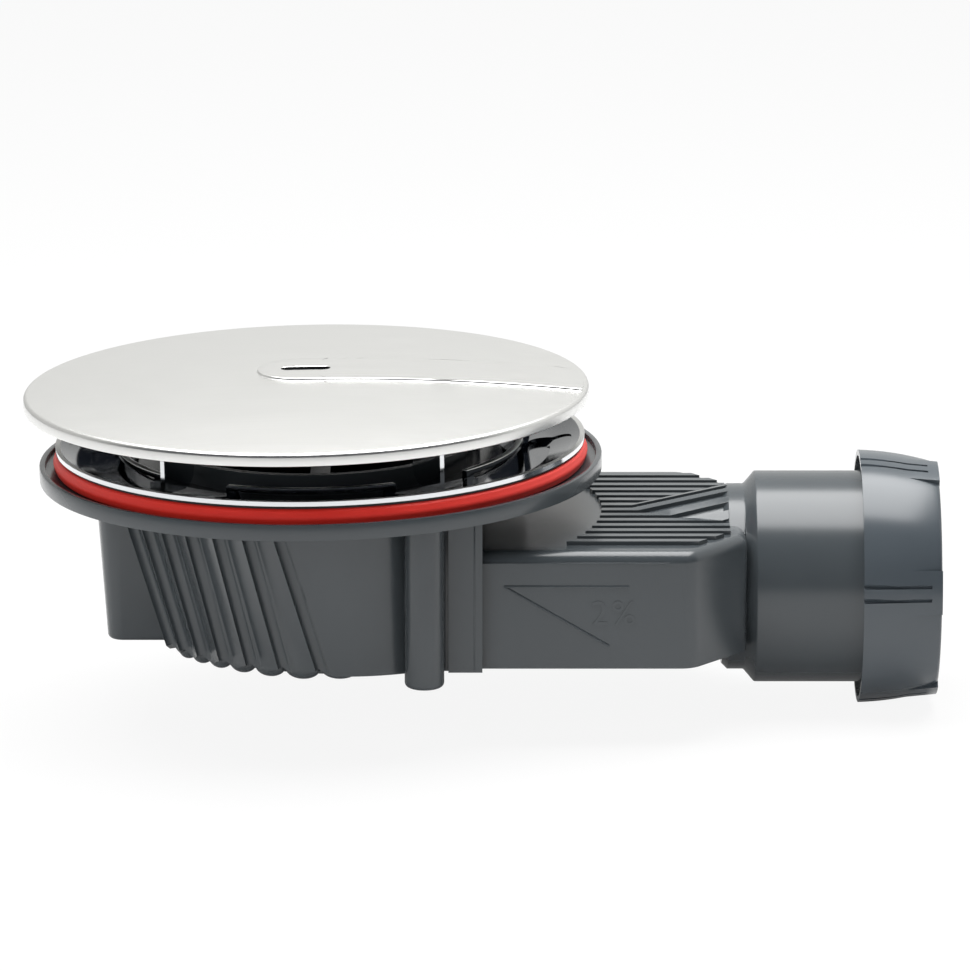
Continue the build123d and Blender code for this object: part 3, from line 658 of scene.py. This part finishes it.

# Collar: bright rim, dish in darker chrome as painted shade and dark reflection under the cover,
# and satin lips
plated_collar = welded_copy("collar", "plated_collar")
collar_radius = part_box("collar")[1].x


def on_lip(point):
    """Whether a point is on the top of one of the collar's lips."""
    return LIP_HEIGHT < point.z and hypot(point.x, point.y) < collar_radius - LIP_INSET


soften(plated_collar, LIP_EDGE, on_lip, steps=2, angle=50)
smooth(plated_collar, angle=30)
dress(plated_collar, chrome, "chrome", "collar")
plated_collar.data.materials.append(shade_chrome)
plated_collar.data.materials.append(steel)
points = plated_collar.data.vertices
# Lips in satin steel; the dish inside the rim in darker chrome as painted shade
for face in plated_collar.data.polygons:
    reaches = [hypot(points[i].co.x, points[i].co.y) for i in face.vertices]
    if on_lip(face.center):
        face.material_index = 2
    elif min(reaches) <= collar_radius - RIM_WIDTH:
        face.material_index = 1

# Carrier: bright legs under a plate painted black as the shade under the cover
carrier = welded_copy("cover_carrier", "plated_carrier")
smooth(carrier, angle=30)
dress(carrier, chrome, "chrome", "cover_carrier")
carrier.data.materials.append(shade_black)
for face in carrier.data.polygons:
    if face.center.z > CARRIER_PLATE:
        face.material_index = 1

# Dip tube
tube = welded_copy("dip_tube", "lift_out_tube")
smooth(tube, angle=30)
dress(tube, grey_plastic, "grey_plastic", "dip_tube")

# Tray seal with a soft bulging side
low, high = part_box("tray_seal")
seal_bore = high.x - SEAL_WIDTH
seal_side = high.x - SEAL_BULGE
arc_radius = seal_side - SEAL_ROUNDING
low_arc, top_arc = low.z + SEAL_ROUNDING, high.z - SEAL_ROUNDING
section = [(seal_bore, low.z), (arc_radius, low.z)]
section += rounded((arc_radius, low_arc), SEAL_ROUNDING, start=-72, end=0, steps=5)
for i in range(1, SEAL_BULGE_STEPS):
    share = i / SEAL_BULGE_STEPS
    rise = low_arc + (top_arc - low_arc) * share
    section.append((seal_side + SEAL_BULGE * 4 * share * (1 - share), rise))
section += rounded((arc_radius, top_arc), SEAL_ROUNDING, start=0, end=105, steps=7)
section.append((seal_bore, high.z - SEAL_TOP_SLOPE * (SEAL_WIDTH - SEAL_ROUNDING)))
seal = turned("tray_seal_ring", section)
smooth(seal, angle=40)
dress(seal, red_rubber, "red_rubber", "tray_seal")

# Cover: dome and rim turned from sheet, with the raised band and the lifting slot
low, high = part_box("cover_plate")
cover_centre = (low.x + high.x) / 2
cover_radius = (high.x - low.x) / 2
crown_height = high.z - BAND_HEIGHT
dome_radius = (cover_radius**2 + COVER_CROWN**2) / (2 * COVER_CROWN)


def dome(radius, drop=0.0):
    """Point of the cover's dome at a radius from its own axis, lowered by a drop."""
    return radius, crown_height - drop - dome_radius + sqrt(dome_radius**2 - radius**2)


def rings(end):
    """Radii from the crown's hole out to an end."""
    return [CROWN_HOLE + (end - CROWN_HOLE) * i / DOME_RINGS for i in range(DOME_RINGS + 1)]


def centred(piece):
    """Move a piece that was turned about Z to the cover's own axis."""
    pick(piece, everywhere)
    bpy.ops.transform.translate(value=(cover_centre, 0, 0))
    bpy.ops.object.mode_set(mode="OBJECT")


edge_start = cover_radius - COVER_EDGE_ROUNDING
edge_centre = (edge_start, dome(edge_start)[1] - COVER_EDGE_ROUNDING)
hem_centre = (cover_radius - COVER_HEM_ROUNDING, low.z + COVER_HEM_ROUNDING)
inside = cover_radius - COVER_SHEET
sheet = [dome(r) for r in rings(edge_start)]
sheet += rounded(edge_centre, COVER_EDGE_ROUNDING, start=75, end=0, steps=6)
sheet += rounded(hem_centre, COVER_HEM_ROUNDING, start=0, end=-90, steps=4)
sheet.append((inside, low.z))
sheet += [dome(r, COVER_SHEET) for r in reversed(rings(inside))]
cover = turned("cover_sheet", sheet)
centred(cover)
lens = [dome(r, -BAND_HEIGHT) for r in rings(edge_start)]
lens += [dome(r, COVER_SHEET / 2) for r in reversed(rings(edge_start))]
band = turned("raised_band", lens)
centred(band)
band_start = cover_centre - BAND_REACH + BAND_WIDTH / 2
band_plan = prism("band_plan", band_start, BAND_WIDTH / 2, 0, cover_radius, low.z, 2 * high.z)
combine(band, band_plan, "INTERSECT")
combine(cover, band, "UNION")
slot_pull = (SLOT_LENGTH - SLOT_WIDTH) / 2
slot = prism("slot_plan", cover_centre, SLOT_WIDTH / 2, slot_pull, slot_pull, low.z, 2 * high.z)
combine(cover, slot, "DIFFERENCE")


def on_band(point):
    """Whether a point is on the raised band's border."""
    radius, height = dome(hypot(point.x - cover_centre, point.y))
    return radius < edge_start - COVER_EDGE_ROUNDING and abs(point.z - height) < BAND_BORDER


soften(cover, BAND_ROUNDING, on_band, steps=3, angle=40)
smooth(cover, angle=30)
dress(cover, steel, "steel", "cover_plate")
# Painted shade: faces inside the cover and the slot's walls in near black
cover.data.materials.append(shade_black)
for face in cover.data.polygons:
    reach = hypot(face.center.x - cover_centre, face.center.y)
    middle_height = dome(min(reach, inside), COVER_SHEET / 2)[1]
    within = reach < inside + WELD and face.center.z < middle_height
    in_slot = reach < SLOT_LENGTH / 2 + WELD and abs(face.normal.z) < SLOT_WALL_NORMAL
    if within or in_slot:
        face.material_index = 1

# Tongue under the slot, painted black as the shade in the slot
tongue_top = crown_height - SLOT_DEPTH
tongue = prism("slot_tongue", cover_centre, SLOT_WIDTH / 2 - SLOT_GAP, slot_pull, slot_pull,
               tongue_top - COVER_SHEET, tongue_top)
smooth(tongue, angle=30)
dress(tongue, shade_black, "grey_plastic")

# Plain rings that stay as they are
for node, material in (("collar_gasket", black_rubber), ("dip_tube_seal", black_rubber),
                       ("outlet_gasket", black_rubber), ("slip_ring", grey_plastic)):
    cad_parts[node].data.materials.clear()
    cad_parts[node].data.materials.append(material)

# Floor under the lowest point: near white to the camera, with a faint shadow
deselect()
bpy.ops.mesh.primitive_plane_add(size=FLOOR_SIZE, location=(0, 0, cad_box[0][2] - FLOOR_GAP))
floor = bpy.context.object
floor.name = "floor"
paper = bpy.data.materials.new("white_paper")
tree = cleared(paper)
path = put(tree, "ShaderNodeLightPath")
mirror = put(tree, "ShaderNodeMath", operation="MAXIMUM",
             links={0: path.outputs["Is Glossy Ray"], 1: path.outputs["Is Transmission Ray"]})
mirrored = put(tree, "ShaderNodeMath", {1: FLOOR_MIRRORED}, {0: mirror.outputs[0]},
               operation="MULTIPLY")
seen = put(tree, "ShaderNodeMath", {1: FLOOR_SEEN}, {0: path.outputs["Is Camera Ray"]},
           operation="MULTIPLY")
white = put(tree, "ShaderNodeMath", operation="MAXIMUM",
            links={0: seen.outputs[0], 1: mirrored.outputs[0]})
matt = put(tree, "ShaderNodeBsdfDiffuse", {"Color": colour("#cfcfcf")})
glow = put(tree, "ShaderNodeEmission", {"Strength": 1.0})
both = put(tree, "ShaderNodeMixShader",
           links={0: white.outputs[0], 1: matt.outputs[0], 2: glow.outputs[0]})
put(tree, "ShaderNodeOutputMaterial", links={"Surface": both.outputs[0]})
floor.data.materials.append(paper)

# World: a pale studio cove behind the object and a dim room in front of it
world = bpy.data.worlds.new("studio")
bpy.context.scene.world = world
tree = cleared(world)
way = put(tree, "ShaderNodeSeparateXYZ",
          links={"Vector": put(tree, "ShaderNodeTexCoord").outputs["Generated"]})
behind = put(tree, "ShaderNodeMapRange", {"From Min": ROOM_TURN[0], "From Max": ROOM_TURN[1]},
             {"Value": way.outputs["Y"]}, interpolation_type="SMOOTHSTEP")
across = put(tree, "ShaderNodeMapRange", {"From Min": COVE_SPAN[0], "From Max": COVE_SPAN[1]},
             {"Value": way.outputs["X"]})
backdrop = put(tree, "ShaderNodeMixRGB",
               {"Color1": colour("#d2d2d0"), "Color2": colour("#f6f6f4")},
               {"Fac": across.outputs["Result"]})
shade = put(tree, "ShaderNodeMixRGB", {"Color1": colour("#2e323a")},
            {"Fac": behind.outputs["Result"], "Color2": backdrop.outputs["Color"]})
room = put(tree, "ShaderNodeBackground", {"Strength": 1.0}, {"Color": shade.outputs["Color"]})
put(tree, "ShaderNodeOutputWorld", links={"Surface": room.outputs[0]})

# Softbox overhead
deselect()
bpy.ops.object.light_add(type="AREA", location=SOFTBOX_PLACE)
softbox = bpy.context.object
softbox.data.shape = "RECTANGLE"
softbox.data.size, softbox.data.size_y = SOFTBOX_SIZE
softbox.data.energy = SOFTBOX_POWER
softbox.visible_camera = False

# Fill from the front left, kept out of the gloss
deselect()
bpy.ops.object.light_add(type="AREA", location=FILL_PLACE)
fill = bpy.context.object
fill.data.size = FILL_SIZE
fill.data.energy = FILL_POWER
fill.rotation_euler = (-fill.location).to_track_quat("-Z", "Y").to_euler()
fill.visible_camera = False
fill.visible_glossy = False

# Camera at the photograph's viewing angle, level with the trap's floor
deselect()
bpy.ops.object.camera_add(location=[c * MM for c in CAMERA_PLACE],
                          rotation=(radians(CAMERA_TILT), FALL, 0))
camera = bpy.context.object
camera.data.sensor_fit = "HORIZONTAL"
camera.data.sensor_width = CAMERA_SENSOR
camera.data.lens = CAMERA_FOCAL * CAMERA_SENSOR / CAMERA_WIDTH
camera.data.clip_end = CAMERA_SIGHT
bpy.context.scene.camera = camera
bpy.context.scene.view_settings.view_transform = "Standard"
